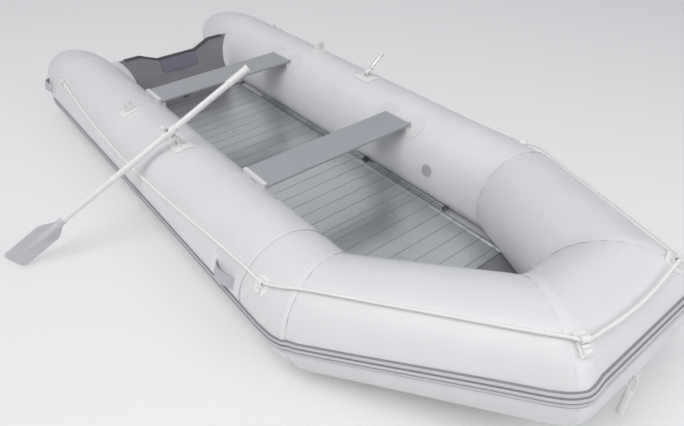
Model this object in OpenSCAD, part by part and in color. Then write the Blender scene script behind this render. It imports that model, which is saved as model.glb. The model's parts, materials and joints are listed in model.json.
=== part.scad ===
// Inflatable dinghy with a roll-up alloy floor, two thwarts, a raked transom and one oar shipped.
// Millimetres. +X runs to the bow, +Y to port, +Z up. The origin is on the centreline at the
// underside of the keel guard, so the boat stands on the plane z = 0.

/* [Tubes] */
// Outer radius of the buoyancy tubes
tube_r = 210; // [208:0.5:212]
// Distance from the centreline to the axis of each side tube
tube_y = 546; // [540:1:552]
// Thickness of the coated fabric
skin_t = 1.5; // [1.2:0.1:2]
// Length of each tapering stern cone
cone_len = 550; // [520:10:580]
// Width of the rubbing strake
strake_w = 54; // [44:1:60]
// How far the rubbing strake stands out
strake_t = 10; // [7:0.5:12]

/* [Floor] */
// Height of the floor panels' top face
floor_z = 70; // [68:0.5:72]
// Length of one floor panel
panel_len = 555; // [550:1:556]
// Depth of the extruded floor slats
slat_t = 18; // [16:0.5:19]

/* [Thwarts and transom] */
// Fore-and-aft width of a thwart board
bench_w = 175; // [150:5:200]
// Thickness of a thwart board
bench_t = 18; // [15:0.5:18]
// Thickness of the transom board
transom_t = 27; // [22:1:30]
// Angle by which the transom leans aft
rake = 14; // [12:0.5:15]

/* [Oar and rowlocks] */
// Outer diameter of the oar's tube
shaft_d = 28; // [26:0.5:28]
// Full width of the oar's blade
blade_w = 116; // [100:2:116]
// Outboard lean of the starboard rowlock pin, which carries the oar
lean_stbd = 35; // [33:1:36]
// Outboard lean of the free port rowlock pin
lean_port = 52; // [45:1:53]
// How far the oar's blade is swept aft
oar_sweep = 12; // [0:1:14]

/* [Hidden] */
$fn = 48;
fine = 96;
eps = 0.01;
big = 5000;

bore_r = tube_r - skin_t;

// stations along the hull
cone_x = -1330;
seam_x = 760;
kink = [970, tube_y, tube_r];
corner = [1613, 184, tube_r + 123];
fore_run = corner - kink;
fore_dir = fore_run / norm(fore_run);
rise = atan2(fore_run.z, fore_run.x);
kink_normal = [1, 0, 0] + fore_dir;
corner_normal = fore_dir + [0, -1, 0];
cone_steps = 16;

// transom
transom_top = [-1280, 0, 372];
notch_half = 126;
shoulder_half = 232;
notch_depth = 43;
board_half = 432;
trim_half = 328;
drain_y = -20;
drain_s = -296;
drain_r = 10;

// floor
panel_x0 = -1133;
slat_w = 80;
end_bar = 37.5;
panel_gap = 1;
lip_y = 328;
panel_half = 346;
stringer_y = 347.5;
stringer_w = 32;
keel_z = 4.5;
bend_x = 930;
skin_half = 427;
skin_rise = 34.5;
bow_outline = [[bend_x + 0.5, skin_half], [1530, 140], [1556, 112], [1566, 0]];

// thwarts
bench_x = [-675, 335];
bench_top = 392;
bench_half = 406;

// rowlocks and oar
lock_x = -58;
lock_y = 548;
lock_z = 445;
bolt_r = 4;
oar_reach = 60;
rod_stbd_r = 5.5;
rod_port_r = 8;
ball_stbd_r = 9.5;
ball_port_r = 13.5;
reach_stbd = 98;
reach_port = 126;
pin_play = 4;
oar_out = 887;
oar_in = 442;
neck_at = 601;
shoulder_at = 696;
ridge_end = 857;
grip_len = 114;
collar_half = 35;
shaft_r = shaft_d / 2;
fit = 0.1;

lug_x = -534;

// valves: a point on a tube's axis and the direction in which the valve faces
valve_port = [[611, tube_y, tube_r], [0, -sin(80), cos(80)]];
valve_stbd = [[611, -tube_y, tube_r], [0, sin(80), cos(80)]];
valve_bow = [
    [1290, -(tube_y - 180), tube_r + 61],
    [-0.51, 0.807, 0.292]
];
valve_hole_r = 16;

// carry handles: station, angle round the tube from the top, fore-and-aft tilt, drop inwards
handle_angle = 71;
handle_places = [[655, 0, 0], [-1450, -5, -5.2]];

// life-line: the route over the starboard half, from its stern holder to the middle of the bow
line_r = 6;
line_half = [
    [-1252, -709, 365], [-1190, -712, 363], [-1000, -723, 342], [-740, -734, 325],
    [-490, -740, 314], [-260, -741, 312], [-20, -738, 320], [220, -730, 332],
    [430, -721, 345], [610, -713, 355], [760, -708, 361], [855, -706, 366],
    [935, -682, 389], [1014, -640, 411], [1200, -541, 443], [1400, -434, 478],
    [1600, -327, 512], [1690, -276, 528], [1732, -246, 530], [1741, -180, 524],
    [1748, -95, 519]
];
line_route = concat(
    line_half,
    [[1751, 0, 517]],
    [for (i = [len(line_half) - 1:-1:0]) [line_half[i].x, -line_half[i].y, line_half[i].z]]
);

// holders of the life-line: eye position, outward direction, line direction
holder_half = [
    [[-1232, 710, 364.5], [0, sin(48), cos(48)], [1, 0, 0]],
    [[855, 706, 366], [0, sin(46), cos(46)], [1, 0, 0]],
    [[1728, 248, 530.5], [0.5, 0.23, 0.835], [0.42, -0.9, 0]]
];

// ---------- helpers ----------

// rotation that turns +Z to the direction n
function aim(n) = [0, acos(n.z / norm(n)), atan2(n.y, n.x)];
function flip(p) = [p.x, -p.y, p.z];
function unit(v) = v / norm(v);

// children are drawn for the port side, and mirrored for starboard
module on_side(port) {
    if (port) children();
    else mirror([0, 1, 0]) children();
}

module both_sides() {
    children();
    mirror([0, 1, 0]) children();
}

// everything on the side of the plane through p that n points to
module beyond(p, n) {
    translate(p) rotate(aim(n)) translate([-big / 2, -big / 2, 0]) cube(big);
}

module rod(from, dir, length, r) {
    translate(from) rotate(aim(dir)) cylinder(r = r, h = length);
}

// solid tubes grown by g, for the port half
module side_solid(g) {
    rod([cone_x - eps, tube_y, tube_r], [1, 0, 0], kink.x - cone_x + eps, tube_r + g, $fn = fine);
}

module cone_solid(g) {
    a = cone_len + g;
    r = tube_r + g;
    translate([cone_x, tube_y, tube_r]) rotate([0, -90, 0]) rotate_extrude($fn = fine)
        polygon(concat(
            [for (i = [0:cone_steps]) [r * cos(i * 90 / cone_steps), a * sin(i * 90 / cone_steps)]],
            [[0, 0]]
        ));
}

module fore_solid(g) {
    difference() {
        rod(kink - 300 * fore_dir, fore_dir, norm(fore_run) + 600, tube_r + g, $fn = fine);
        beyond(kink, -kink_normal);
        beyond(corner, corner_normal);
    }
}

module main_solid(g) {
    difference() {
        rod([cone_x, tube_y, tube_r], [1, 0, 0], kink.x - cone_x + 300, tube_r + g, $fn = fine);
        beyond(kink, kink_normal);
    }
}

module bow_solid(g) {
    difference() {
        rod([corner.x, -600, corner.z], [0, 1, 0], 1200, tube_r + g, $fn = fine);
        beyond(corner, -corner_normal);
        beyond(flip(corner), -flip(corner_normal));
    }
}

module hull_half(g) {
    cone_solid(g);
    main_solid(g);
    fore_solid(g);
}

module rounded_plate(w, h, r) {
    square([w - 2 * r, h], center = true);
    square([w, h - 2 * r], center = true);
    for (x = [-1, 1], y = [-1, 1]) translate([x * (w / 2 - r), y * (h / 2 - r)]) circle(r);
}

// ---------- buoyancy tubes ----------

fabric_grey = [0.86, 0.87, 0.88];

module valve_drill(v) {
    rod(v[0], v[1], tube_r + 20, valve_hole_r);
}

module side_tube(port, v) {
    color(fabric_grey) difference() {
        on_side(port) difference() {
            rod([cone_x, tube_y, tube_r], [1, 0, 0], seam_x - cone_x, tube_r, $fn = fine);
            rod([cone_x - 1, tube_y, tube_r], [1, 0, 0], seam_x - cone_x + 2, bore_r, $fn = fine);
        }
        valve_drill(v);
    }
}

module shoulder(port) {
    color(fabric_grey) on_side(port) difference() {
        rod([seam_x, tube_y, tube_r], [1, 0, 0], kink.x - seam_x + 300, tube_r, $fn = fine);
        rod([seam_x - 1, tube_y, tube_r], [1, 0, 0], kink.x - seam_x + 302, bore_r, $fn = fine);
        beyond(kink, kink_normal);
    }
}

module fore_shell() {
    difference() {
        fore_solid(0);
        rod(kink - 400 * fore_dir, fore_dir, norm(fore_run) + 800, bore_r, $fn = fine);
    }
}

module fore_tube(port) {
    color(fabric_grey) {
        if (port) fore_shell();
        else difference() {
            on_side(false) fore_shell();
            valve_drill(valve_bow);
        }
    }
}

module bow_tube() {
    color(fabric_grey) difference() {
        bow_solid(0);
        rod([corner.x, -700, corner.z], [0, 1, 0], 1400, bore_r, $fn = fine);
    }
}

function dome(r, a) = [for (i = [0:cone_steps]) [r * cos(i * 90 / cone_steps), a * sin(i * 90 / cone_steps)]];
function backwards(v) = [for (i = [len(v) - 1:-1:0]) v[i]];

module stern_cone(port) {
    outer = dome(tube_r, cone_len);
    inner = dome(tube_r - skin_t, cone_len - skin_t);
    color(fabric_grey) on_side(port) translate([cone_x, tube_y, tube_r]) rotate([0, -90, 0])
        rotate_extrude($fn = fine) polygon(concat(outer, backwards(inner)));
}

module chamber_baffles() {
    color("silver") both_sides()
        rod([seam_x - skin_t / 2, tube_y, tube_r], [1, 0, 0], skin_t, bore_r - fit, $fn = fine);
}

// ---------- bottom ----------

// shallow vee from the keel up to the tubes, in an aft and a rising fore panel, drawn in Y and Z
module vee_section(t) {
    polygon([
        [-skin_half, skin_rise - t], [-60, keel_z - t], [60, keel_z - t], [skin_half, skin_rise - t],
        [skin_half, skin_rise], [60, keel_z], [-60, keel_z], [-skin_half, skin_rise]
    ]);
}

module along_x(x0, x1) {
    translate([x0, 0, 0]) rotate([90, 0, 90]) linear_extrude(x1 - x0) children();
}

module rising() {
    translate([bend_x, 0, 0]) rotate([0, -rise, 0]) translate([-bend_x, 0, 0]) children();
}

module bottom_skin() {
    color("gainsboro") {
        along_x(-1222, bend_x - fit) vee_section(skin_t);
        intersection() {
            rising() along_x(bend_x - 5, 1640) vee_section(skin_t);
            linear_extrude(300)
                polygon(concat(bow_outline, [for (p = backwards(bow_outline)) [p.x, -p.y]]));
        }
    }
}

module keel_section(r) {
    translate([-60, 26]) circle(r);
    translate([60, 26]) circle(r);
    translate([-60, 26 - r]) square([120, 2 * r]);
}

module keel_tube() {
    color("lightgray") difference() {
        along_x(-1120, 940) keel_section(19);
        along_x(-1120 + skin_t, 940 - skin_t) keel_section(19 - skin_t);
    }
}

module keel_guard() {
    color("gray") translate([-1100, -30, 0]) cube([1980, 60, keel_z - skin_t - 0.05]);
}

// ---------- rubbing strakes ----------

// outward direction at the angle a from the top, round an axis that runs along d
function outward(d, a) =
    let (up = unit([0, 0, 1] - d.z * d), side = unit(cross(d, up))) cos(a) * up - sin(a) * side;
function cone_radius(x) =
    x < cone_x ? tube_r * sqrt(1 - pow((cone_x - x) / cone_len, 2)) : tube_r;
function mix(a, b, t) = a * (1 - t) + b * t;

// radius of a mitred bend's outer skin, a part t of the way through its turn
function bend_radius(t, turn) = tube_r / cos(min(t, 1 - t) * turn);
kink_turn = acos(fore_dir.x);
corner_turn = acos(-fore_dir.y);

main_stations = [-1440, -1400, -1360, -1330, -700, 0, 700, 800];
fore_stations = [0.12, 0.25, 0.5, 0.75, 0.9];

// each station: axis point, axis direction, angle, local radius
port_stations = concat(
    [for (x = main_stations) [[x, tube_y, tube_r], [1, 0, 0], 93, cone_radius(x)]],
    [for (t = [0.2, 0.5, 0.8]) [
        kink + [(t - 0.5) * 160, 0, 0] + max(0, t - 0.5) * 160 * (fore_dir - [1, 0, 0]),
        unit(mix([1, 0, 0], fore_dir, t)), mix(91, 86, t), bend_radius(t, kink_turn)]],
    [for (t = fore_stations) [mix(kink, corner, t), fore_dir, mix(85, 82, t), tube_r]]
);
bow_stations = [for (y = [-150, -75, 0, 75, 150]) [[corner.x, y, corner.z], [0, -1, 0], 75, tube_r]];

strake_profile = [
    [-0.5, 0], [0.5, 0], [0.5, 0.5], [0.37, 1], [-0.37, 1], [-0.5, 0.5]
];
strake_lift = 0.8;

function strake_ring(s) =
    let (n = outward(s[1], s[2]), w = unit(cross(s[1], n)))
    [for (p = strake_profile)
        s[0] + (s[3] + strake_lift + p.y * strake_t) * n + p.x * strake_w * w];

// closed skin over a list of equal rings
module skin_rings(rings) {
    m = len(rings[0]);
    last = len(rings) - 1;
    polyhedron(
        points = [for (ring = rings) each ring],
        faces = concat(
            [[for (k = [0:m - 1]) k]],
            [for (i = [0:last - 1], k = [0:m - 1]) let (j = (k + 1) % m)
                each [[i * m + k, (i + 1) * m + k, (i + 1) * m + j],
                      [i * m + k, (i + 1) * m + j, i * m + j]]],
            [[for (k = [m - 1:-1:0]) last * m + k]]
        ),
        convexity = 6
    );
}

module strake_side(port) {
    color("darkgray") on_side(port) skin_rings([for (s = port_stations) strake_ring(s)]);
}

// the bow strake turns each corner on to the side strake's end
bow_side = concat(
    [[mix(kink, corner, 0.905), fore_dir, 82, tube_r]],
    [for (t = [0:0.25:1]) [
        corner, unit(mix(fore_dir, [0, -1, 0], t)), mix(82, 75, t), bend_radius(t, corner_turn)]]
);

module strake_bow() {
    port_rings = [for (s = bow_side) strake_ring(s)];
    mid_rings = [for (s = backwards(bow_stations)) strake_ring(s)];
    stbd_rings = [for (r = backwards(port_rings)) [for (p = r) flip(p)]];
    color("darkgray") skin_rings(concat(port_rings, mid_rings, stbd_rings));
}

// ---------- transom ----------

// children are drawn with X out of the inner face, Y to port and Z up the board from its top edge
module at_transom() {
    translate(transom_top) rotate([0, -rake, 0]) children();
}

transom_line = [
    [-board_half, 0], [-shoulder_half, 0], [-notch_half, -notch_depth],
    [notch_half, -notch_depth], [shoulder_half, 0], [board_half, 0]
];

module board_section() {
    polygon(concat(transom_line, [[board_half, -340], [60, -368], [-60, -368], [-board_half, -340]]));
}

module transom_board() {
    color("dimgray") difference() {
        at_transom() along_x(-transom_t, 0) board_section();
        at_transom() translate([-60, drain_y, drain_s]) rotate([0, 90, 0]) cylinder(r = 14.1, h = 80);
        both_sides() side_solid(0.5);
    }
}

module trim_section(top, bottom) {
    line = [for (p = transom_line) [max(-trim_half, min(trim_half, p.x)), p.y]];
    polygon(concat(
        [for (p = line) p + [0, top]],
        [for (p = backwards(line)) p + [0, bottom]]
    ));
}

module transom_trim() {
    color([0.25, 0.25, 0.27]) at_transom() difference() {
        along_x(-transom_t - 3, 3) trim_section(4, -9);
        along_x(-transom_t - fit, fit) trim_section(fit, -20);
    }
}

module motor_pad_inner() {
    color([0.42, 0.42, 0.47]) at_transom() translate([0.05, 0, -92]) rotate([90, 0, 90]) {
        linear_extrude(5) rounded_plate(242, 80, 20);
        translate([0, -36, 0]) cylinder(r = 13, h = 8);
    }
}

module motor_pad_outer() {
    color([0.3, 0.3, 0.32]) at_transom() translate([-transom_t - 6.05, 0, -138]) rotate([90, 0, 90])
        linear_extrude(6) rounded_plate(320, 164, 24);
}

module transom_bands() {
    color([0.75, 0.75, 0.77]) both_sides() difference() {
        intersection() {
            at_transom() union() {
                translate([0.1, 250, -330]) cube([2, 200, 330]);
                translate([-transom_t - 2.6, trim_half + 1, -26]) cube([transom_t + 5, 130, 29]);
            }
            rod([cone_x - 300, tube_y, tube_r], [1, 0, 0], 800, tube_r + 34, $fn = fine);
        }
        at_transom() translate([-transom_t - fit, 200, -600]) cube([transom_t + 2 * fit, 400, 600 + fit]);
        side_solid(0.6);
    }
}

module drain_body() {
    color("gray") at_transom() translate([0, drain_y, drain_s]) rotate([0, 90, 0]) difference() {
        union() {
            translate([0, 0, -transom_t - 4]) cylinder(r = 14, h = transom_t + 5);
            translate([0, 0, fit]) cylinder(r = 21, h = 4);
            translate([0, 0, -transom_t - 4.2]) cylinder(r = 19, h = 4);
        }
        translate([0, 0, -60]) cylinder(r = drain_r, h = 80);
    }
}

module drain_plug() {
    color([0.2, 0.2, 0.2]) at_transom() translate([0, drain_y, drain_s]) rotate([0, 90, 0]) {
        translate([0, 0, -transom_t - 7.3]) cylinder(r = 17, h = 3);
        translate([0, 0, -transom_t - 5]) cylinder(r = drain_r - 0.05, h = 18);
        translate([-3, -8, -transom_t - 15]) cube([6, 16, 9]);
    }
}

// ---------- floor ----------

// one panel's slats seen from the side: hollow sections with a groove at every joint
module slat_section() {
    slats = 6;
    difference() {
        translate([0, -slat_t]) square([panel_len - panel_gap, slat_t]);
        for (i = [0:slats]) translate([end_bar + i * slat_w - 1, -1]) square([2, 2]);
        for (i = [0:slats - 1])
            translate([end_bar + i * slat_w + 1.5, 1.2 - slat_t]) square([slat_w - 3, slat_t - 3.2]);
        translate([3, 1.2 - slat_t]) square([end_bar - 6, slat_t - 3.2]);
        translate([end_bar + slats * slat_w + 3, 1.2 - slat_t])
            square([panel_len - panel_gap - end_bar - slats * slat_w - 6, slat_t - 3.2]);
    }
}

// edge rail of a panel: an inner lip and a channel that the stringer closes
module rail_section() {
    translate([lip_y, -slat_t]) square([panel_half - lip_y, slat_t - 6]);
    translate([lip_y, -slat_t]) square([3, slat_t + 6]);
    translate([panel_half - 2.5, -slat_t]) square([2.5, slat_t + 2]);
}

// everything below the bottom fabric's top face raised by g, drawn in Y and Z
module under_skin(g) {
    slope = (skin_rise - keel_z) / (skin_half - 60);
    edge = [450, keel_z + g + 390 * slope];
    polygon([[-edge.x, -60], [edge.x, -60], edge, [60, keel_z + g], [-60, keel_z + g], [-edge.x, edge.y]]);
}

module floor_panel(i) {
    x0 = panel_x0 + i * panel_len;
    length = panel_len - panel_gap;
    color("lightsteelblue") difference() {
        union() {
            translate([x0, lip_y + eps, floor_z]) rotate([90, 0, 0])
                linear_extrude(2 * lip_y + 2 * eps) slat_section();
            both_sides() translate([0, 0, floor_z]) along_x(x0, x0 + length) rail_section();
        }
        both_sides() fore_solid(4);
        both_sides() main_solid(0.5);
        if (i == 3) rising() along_x(bend_x - 5, bend_x + 300) under_skin(0.3);
    }
}

module bow_board() {
    x0 = panel_x0 + 4 * panel_len;
    color("slategray") difference() {
        translate([x0 + 2, 0, floor_z]) rotate([0, -rise, 0]) translate([0, -lip_y, -12])
            cube([370, 2 * lip_y, 12]);
        both_sides() fore_solid(4);
        bow_solid(4);
    }
}

// H-section stringer that clamps the panels' edges, drawn in Y and Z
module stringer_section() {
    difference() {
        translate([stringer_y, -21]) square([stringer_w, 30]);
        translate([stringer_y + 7, 3]) square([5, 8]);
        translate([stringer_y + 16, -17]) square([12, 22]);
    }
}

module stringer(port, x0, x1) {
    color("silver") difference() {
        on_side(port) translate([0, 0, floor_z]) along_x(x0, x1) stringer_section();
        on_side(port) side_solid(0.8);
    }
}

// ---------- thwarts ----------

module bench(x) {
    color([0.62, 0.63, 0.65]) translate([x, bench_half, bench_top - bench_t / 2]) rotate([90, 0, 0])
        linear_extrude(2 * bench_half) {
            square([bench_w - bench_t, bench_t], center = true);
            for (e = [-1, 1]) translate([e * (bench_w - bench_t) / 2, 0]) circle(bench_t / 2);
        }
}

bracket_w = 164;

// hook that a thwart's end slides into, drawn in Y and Z
module bracket_section() {
    low = bench_top - bench_t;
    difference() {
        translate([382, low - 30]) square([bench_half - 374, bench_t + 34]);
        translate([370, low - 0.3]) square([bench_half - 370 + 0.3, bench_t + 0.6]);
        translate([370, low]) square([bench_half - 380, 60]);
    }
}

module bench_brackets() {
    color("gainsboro") both_sides() for (x = bench_x) {
        difference() {
            along_x(x - bracket_w / 2, x + bracket_w / 2) bracket_section();
            side_solid(2);
        }
        // round patches under the corners of the thwart
        for (e = [-1, 1]) intersection() {
            difference() {
                side_solid(1.8);
                side_solid(0.3);
            }
            rod([x + e * 90, tube_y, tube_r], [0, -sin(38), cos(38)], 300, 66);
        }
    }
}

// ---------- rowlocks ----------

module rowlock_base(port) {
    ear_gap = 9;
    ear_t = 7;
    color("white") on_side(port) difference() {
        union() {
            intersection() {
                difference() {
                    side_solid(6);
                    side_solid(0.3);
                }
                translate([lock_x - 56, lock_y - 45, 350]) cube([112, 90, 100]);
            }
            // diagonal gussets run up to the two ears
            for (ex = [-1, 1], ey = [-1, 1])
                translate([lock_x + ex * (ear_gap + 3), lock_y, 0])
                    rotate([0, 0, atan2(ey * 40, ex * 42)])
                        translate([0, 2.5, 418]) rotate([90, 0, 0]) linear_extrude(5)
                            polygon([[0, 0], [54, -6], [54, 0], [0, 17]]);
            for (e = [-1, 1]) translate([lock_x + e * (ear_gap + ear_t / 2), lock_y, 0]) {
                translate([-ear_t / 2, -12, 414]) cube([ear_t, 24, lock_z - 414]);
                translate([-ear_t / 2, 0, lock_z]) rotate([0, 90, 0]) cylinder(r = 12, h = ear_t);
            }
        }
        translate([lock_x - 40, lock_y, lock_z]) rotate([0, 90, 0]) cylinder(r = bolt_r + fit, h = 80);
        side_solid(0.3);
    }
}

module rowlock_bolts() {
    color("silver") both_sides() translate([lock_x, lock_y, lock_z]) rotate([0, 90, 0]) {
        translate([0, 0, -19]) cylinder(r = bolt_r, h = 38);
        translate([0, 0, -22]) cylinder(r = 7, h = 5);
        translate([0, 0, 17]) cylinder(r = 7, h = 5, $fn = 6);
    }
}

// children are drawn with Z along the rowlock's pin and X along its tilt axis, for port
module at_pin(port) {
    lean = port ? lean_port : lean_stbd;
    on_side(port) translate([lock_x, lock_y, lock_z]) rotate([-lean, 0, 0]) children();
}

module rowlock_stem(port) {
    nut_r = port ? 15 : 12;
    color("white") at_pin(port) difference() {
        union() {
            translate([-8.5, 0, 0]) rotate([0, 90, 0]) cylinder(r = 11, h = 17);
            cylinder(r = 8.4, h = 34);
            translate([0, 0, 32]) cylinder(r = nut_r, h = 7);
        }
        translate([-20, 0, 0]) rotate([0, 90, 0]) cylinder(r = bolt_r + fit, h = 40);
        translate([0, 0, 18]) cylinder(r = 4.6, h = 40);
    }
}

module rowlock_rod(port) {
    r = port ? rod_port_r : rod_stbd_r;
    reach = port ? reach_port : reach_stbd;
    color("silver") at_pin(port) {
        translate([0, 0, 18]) cylinder(r = 4.5, h = 22);
        translate([0, 0, 39.1]) cylinder(r = r, h = reach - 39.1 - 6);
    }
}

module rowlock_knob(port) {
    r = port ? ball_port_r : ball_stbd_r;
    reach = port ? reach_port : reach_stbd;
    rod_r = port ? rod_port_r : rod_stbd_r;
    color("white") at_pin(port) difference() {
        translate([0, 0, reach]) sphere(r = r);
        translate([0, 0, reach - 60]) cylinder(r = rod_r + fit, h = 54 + fit);
    }
}

// ---------- oar ----------

// children are drawn with Y along the oar, inboard, and Z across it near the pin
module at_oar() {
    translate([lock_x, -lock_y, lock_z]) rotate([lean_stbd, 0, 0]) translate([0, 0, oar_reach])
        rotate([0, 0, -oar_sweep]) rotate([-pin_play, 0, 0]) children();
}

module along_oar(y0, y1, r) {
    translate([0, y1, 0]) rotate([90, 0, 0]) cylinder(r = r, h = y1 - y0);
}

pin_hole_r = 8;
shaft_wall = 1.3;
shaft_y0 = -(oar_out - 172);
shaft_y1 = oar_in - 8;

module oar_shaft() {
    color("white") at_oar() difference() {
        along_oar(shaft_y0, shaft_y1, shaft_r);
        along_oar(shaft_y0 - 1, shaft_y1 + 1, shaft_r - shaft_wall);
        translate([0, 0, -40]) cylinder(r = pin_hole_r, h = 80);
    }
}

blade_t = 4;
tip_r = 22;

module blade_outline() {
    h = blade_w / 2;
    polygon([
        [-neck_at - 6, -15], [-shoulder_at, -h], [-oar_out + tip_r, -h], [-oar_out + tip_r, h],
        [-shoulder_at, h], [-neck_at - 6, 15]
    ]);
    translate([-oar_out, -h + tip_r]) square([tip_r + 1, blade_w - 2 * tip_r]);
    for (e = [-1, 1]) translate([-oar_out + tip_r, e * (h - tip_r)]) circle(tip_r);
}

module oar_blade() {
    socket_end = oar_out - 168;
    color([0.76, 0.75, 0.78]) at_oar() difference() {
        union() {
            translate([-blade_t / 2, 0, 0]) rotate([90, 0, 90]) linear_extrude(blade_t) blade_outline();
            translate([0, -ridge_end, 0]) rotate([-90, 0, 0]) rotate_extrude()
                polygon([[0, 0], [1, 0], [shaft_r + 2.5, ridge_end - socket_end],
                    [shaft_r + 2.5, ridge_end - neck_at], [0, ridge_end - neck_at]]);
        }
        along_oar(shaft_y0 - 1, -neck_at + 1, shaft_r + fit);
    }
}

module oar_grip() {
    color("whitesmoke") at_oar() difference() {
        union() {
            along_oar(oar_in - grip_len, oar_in - 5, shaft_r + 2.5);
            along_oar(oar_in - 10, oar_in, shaft_r + 3.5);
        }
        along_oar(oar_in - grip_len - 1, shaft_y1 + fit, shaft_r + fit);
    }
}

module oar_collar() {
    color("white") at_oar() difference() {
        union() {
            along_oar(-collar_half, collar_half, shaft_r + 4);
            along_oar(-collar_half, -collar_half + 6, shaft_r + 6);
            along_oar(collar_half - 6, collar_half, shaft_r + 6);
        }
        along_oar(-collar_half - 1, collar_half + 1, shaft_r + fit);
        translate([0, 0, -40]) cylinder(r = pin_hole_r, h = 80);
    }
}

// ---------- small fittings ----------

lug_angle = 10.5;
lug_w = 22;
lug_high = 54;
lug_slot = 18;
lug_floor = 23;

// a cradle's section, drawn in Y and Z from the tube's axis
module lug_section() {
    difference() {
        polygon([
            [-28, tube_r - 3], [28, tube_r - 3], [28, tube_r + 12], [20, tube_r + lug_high - 4],
            [16, tube_r + lug_high], [-16, tube_r + lug_high], [-20, tube_r + lug_high - 4],
            [-28, tube_r + 12]
        ]);
        translate([-lug_slot / 2, tube_r + lug_floor + lug_slot / 2]) square([lug_slot, 60]);
        translate([0, tube_r + lug_floor + lug_slot / 2]) circle(lug_slot / 2);
    }
}

// an open cradle in which a stowed oar lies fore and aft, on a base that hugs the tube
module stow_lug(port) {
    color("white") on_side(port) difference() {
        union() {
            intersection() {
                difference() {
                    side_solid(4);
                    side_solid(0.3);
                }
                at_lug() translate([-33, -48, tube_r - 20]) cube([66, 96, 40]);
            }
            at_lug() along_x(-lug_w / 2, lug_w / 2) lug_section();
        }
        side_solid(0.3);
    }
}

module at_lug() {
    translate([lug_x, tube_y, tube_r]) rotate([-lug_angle, 0, 0]) children();
}

strap_w = 46;
strap_t = 4;
strap_r = 97;
strap_rise = 30;

// a wide bowed strap on a pad, drawn with Z outwards from the tube's surface
module strap() {
    intersection() {
        translate([0, strap_w / 2, strap_rise - strap_r]) rotate([90, 0, 0]) difference() {
            cylinder(r = strap_r, h = strap_w);
            translate([0, 0, -1]) cylinder(r = strap_r - strap_t, h = strap_w + 2);
        }
        translate([-90, -strap_w, -12]) cube([180, 2 * strap_w, 60]);
    }
}

module at_handle(p) {
    translate([p[0], tube_y, tube_r]) rotate([-handle_angle, 0, 0])
        translate([0, 0, tube_r + p[2]]) rotate([0, p[1], 0]) children();
}

module carry_handles() {
    color("gray") both_sides() for (p = handle_places) difference() {
        at_handle(p) strap();
        hull_half(2.5);
    }
}

module handle_pads() {
    color("gainsboro") both_sides() for (p = handle_places) intersection() {
        difference() {
            hull_half(2.4);
            hull_half(0.4);
        }
        at_handle(p) translate([-100, -46, -60]) cube([200, 92, 120]);
    }
}

// an eye for the line with two rollers below it, drawn with Z outwards and X along the line
module holder_body() {
    difference() {
        union() {
            translate([-13, -9, -17]) cube([26, 18, 19]);
            translate([-13, 0, 1.5]) rotate([0, 90, 0]) cylinder(r = 11, h = 26);
            translate([-11, 8, -17]) cube([22, 34, 9]);
            for (w = [18, 33]) translate([-11, w, -7]) rotate([0, 90, 0]) cylinder(r = 6.5, h = 22);
        }
        translate([-30, 0, 0]) rotate([0, 90, 0]) cylinder(r = 7.4, h = 60);
    }
}

// the frame of a holder: Z along its outward direction, X along the line
module at_holder(h) {
    n = unit(h[1]);
    x = unit(h[2] - (h[2] * n) * n);
    y = cross(n, x);
    multmatrix([
        [x.x, y.x, n.x, h[0].x],
        [x.y, y.y, n.y, h[0].y],
        [x.z, y.z, n.z, h[0].z],
        [0, 0, 0, 1]
    ]) children();
}

module holder_patch(h) {
    at_holder(h) translate([0, 12, -60]) cylinder(r = 40, h = 90, $fn = 6);
}

module rope_holders() {
    color("white") both_sides() {
        for (h = [holder_half[0], holder_half[1]]) {
            difference() {
                at_holder(h) holder_body();
                main_solid(2);
            }
            intersection() {
                difference() {
                    main_solid(2.4);
                    main_solid(0.4);
                }
                holder_patch(h);
            }
        }
        difference() {
            at_holder(holder_half[2]) holder_body();
            bow_solid(2);
        }
        intersection() {
            difference() {
                bow_solid(2.4);
                bow_solid(0.4);
            }
            holder_patch(holder_half[2]);
        }
    }
}

function catmull(a, b, c, d, t) =
    0.5 * (2 * b + t * (c - a) + t * t * (2 * a - 5 * b + 4 * c - d)
        + t * t * t * (3 * b - a - 3 * c + d));

function route_points(route) = concat(
    [route[0]],
    [for (i = [0:len(route) - 2]) let (
            a = route[max(0, i - 1)], b = route[i], c = route[i + 1],
            d = route[min(len(route) - 1, i + 2)])
        each (norm(c - b) > 120 ? [catmull(a, b, c, d, 0.5), c] : [c])]
);

function ring_about(points, i, r, sides) =
    let (
        before = points[max(0, i - 1)],
        after = points[min(len(points) - 1, i + 1)],
        t = unit(after - before),
        u = unit(cross(t, [0, 0, 1])),
        v = cross(u, t)
    )
    [for (k = [0:sides - 1])
        points[i] + r * (cos(360 * k / sides) * u + sin(360 * k / sides) * v)];

module life_line() {
    points = route_points(line_route);
    color("white") skin_rings([for (i = [0:len(points) - 1]) ring_about(points, i, line_r, 8)]);
}

// the ring's lowest point, from which the hand grip hangs
ring_at = [1820, 0, 242];
ring_wire = 3;
ring_mean = 17;
loop_r = 9;
grip_top = 192;
grip_low = 72;

// a D-shaped ring that hangs from its straight bar, with its lowest point at the origin
module bow_ring() {
    translate([0, -ring_mean, ring_mean]) rotate([-90, 0, 0]) cylinder(r = ring_wire, h = 2 * ring_mean);
    translate([0, 0, ring_mean]) rotate([90, 180, 90])
        rotate_extrude(angle = 180) translate([ring_mean, 0]) circle(ring_wire);
}

module bow_ring_patch() {
    color("lightgray") {
        intersection() {
            difference() {
                bow_solid(2.4);
                bow_solid(0.4);
            }
            rod([corner.x, 0, corner.z], [sin(108), 0, cos(108)], 300, 52);
        }
        difference() {
            translate([ring_at.x - 24, -12, ring_at.z + ring_mean - 7]) cube([30, 24, 14]);
            bow_solid(0.4);
        }
        translate(ring_at) bow_ring();
    }
}

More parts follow.
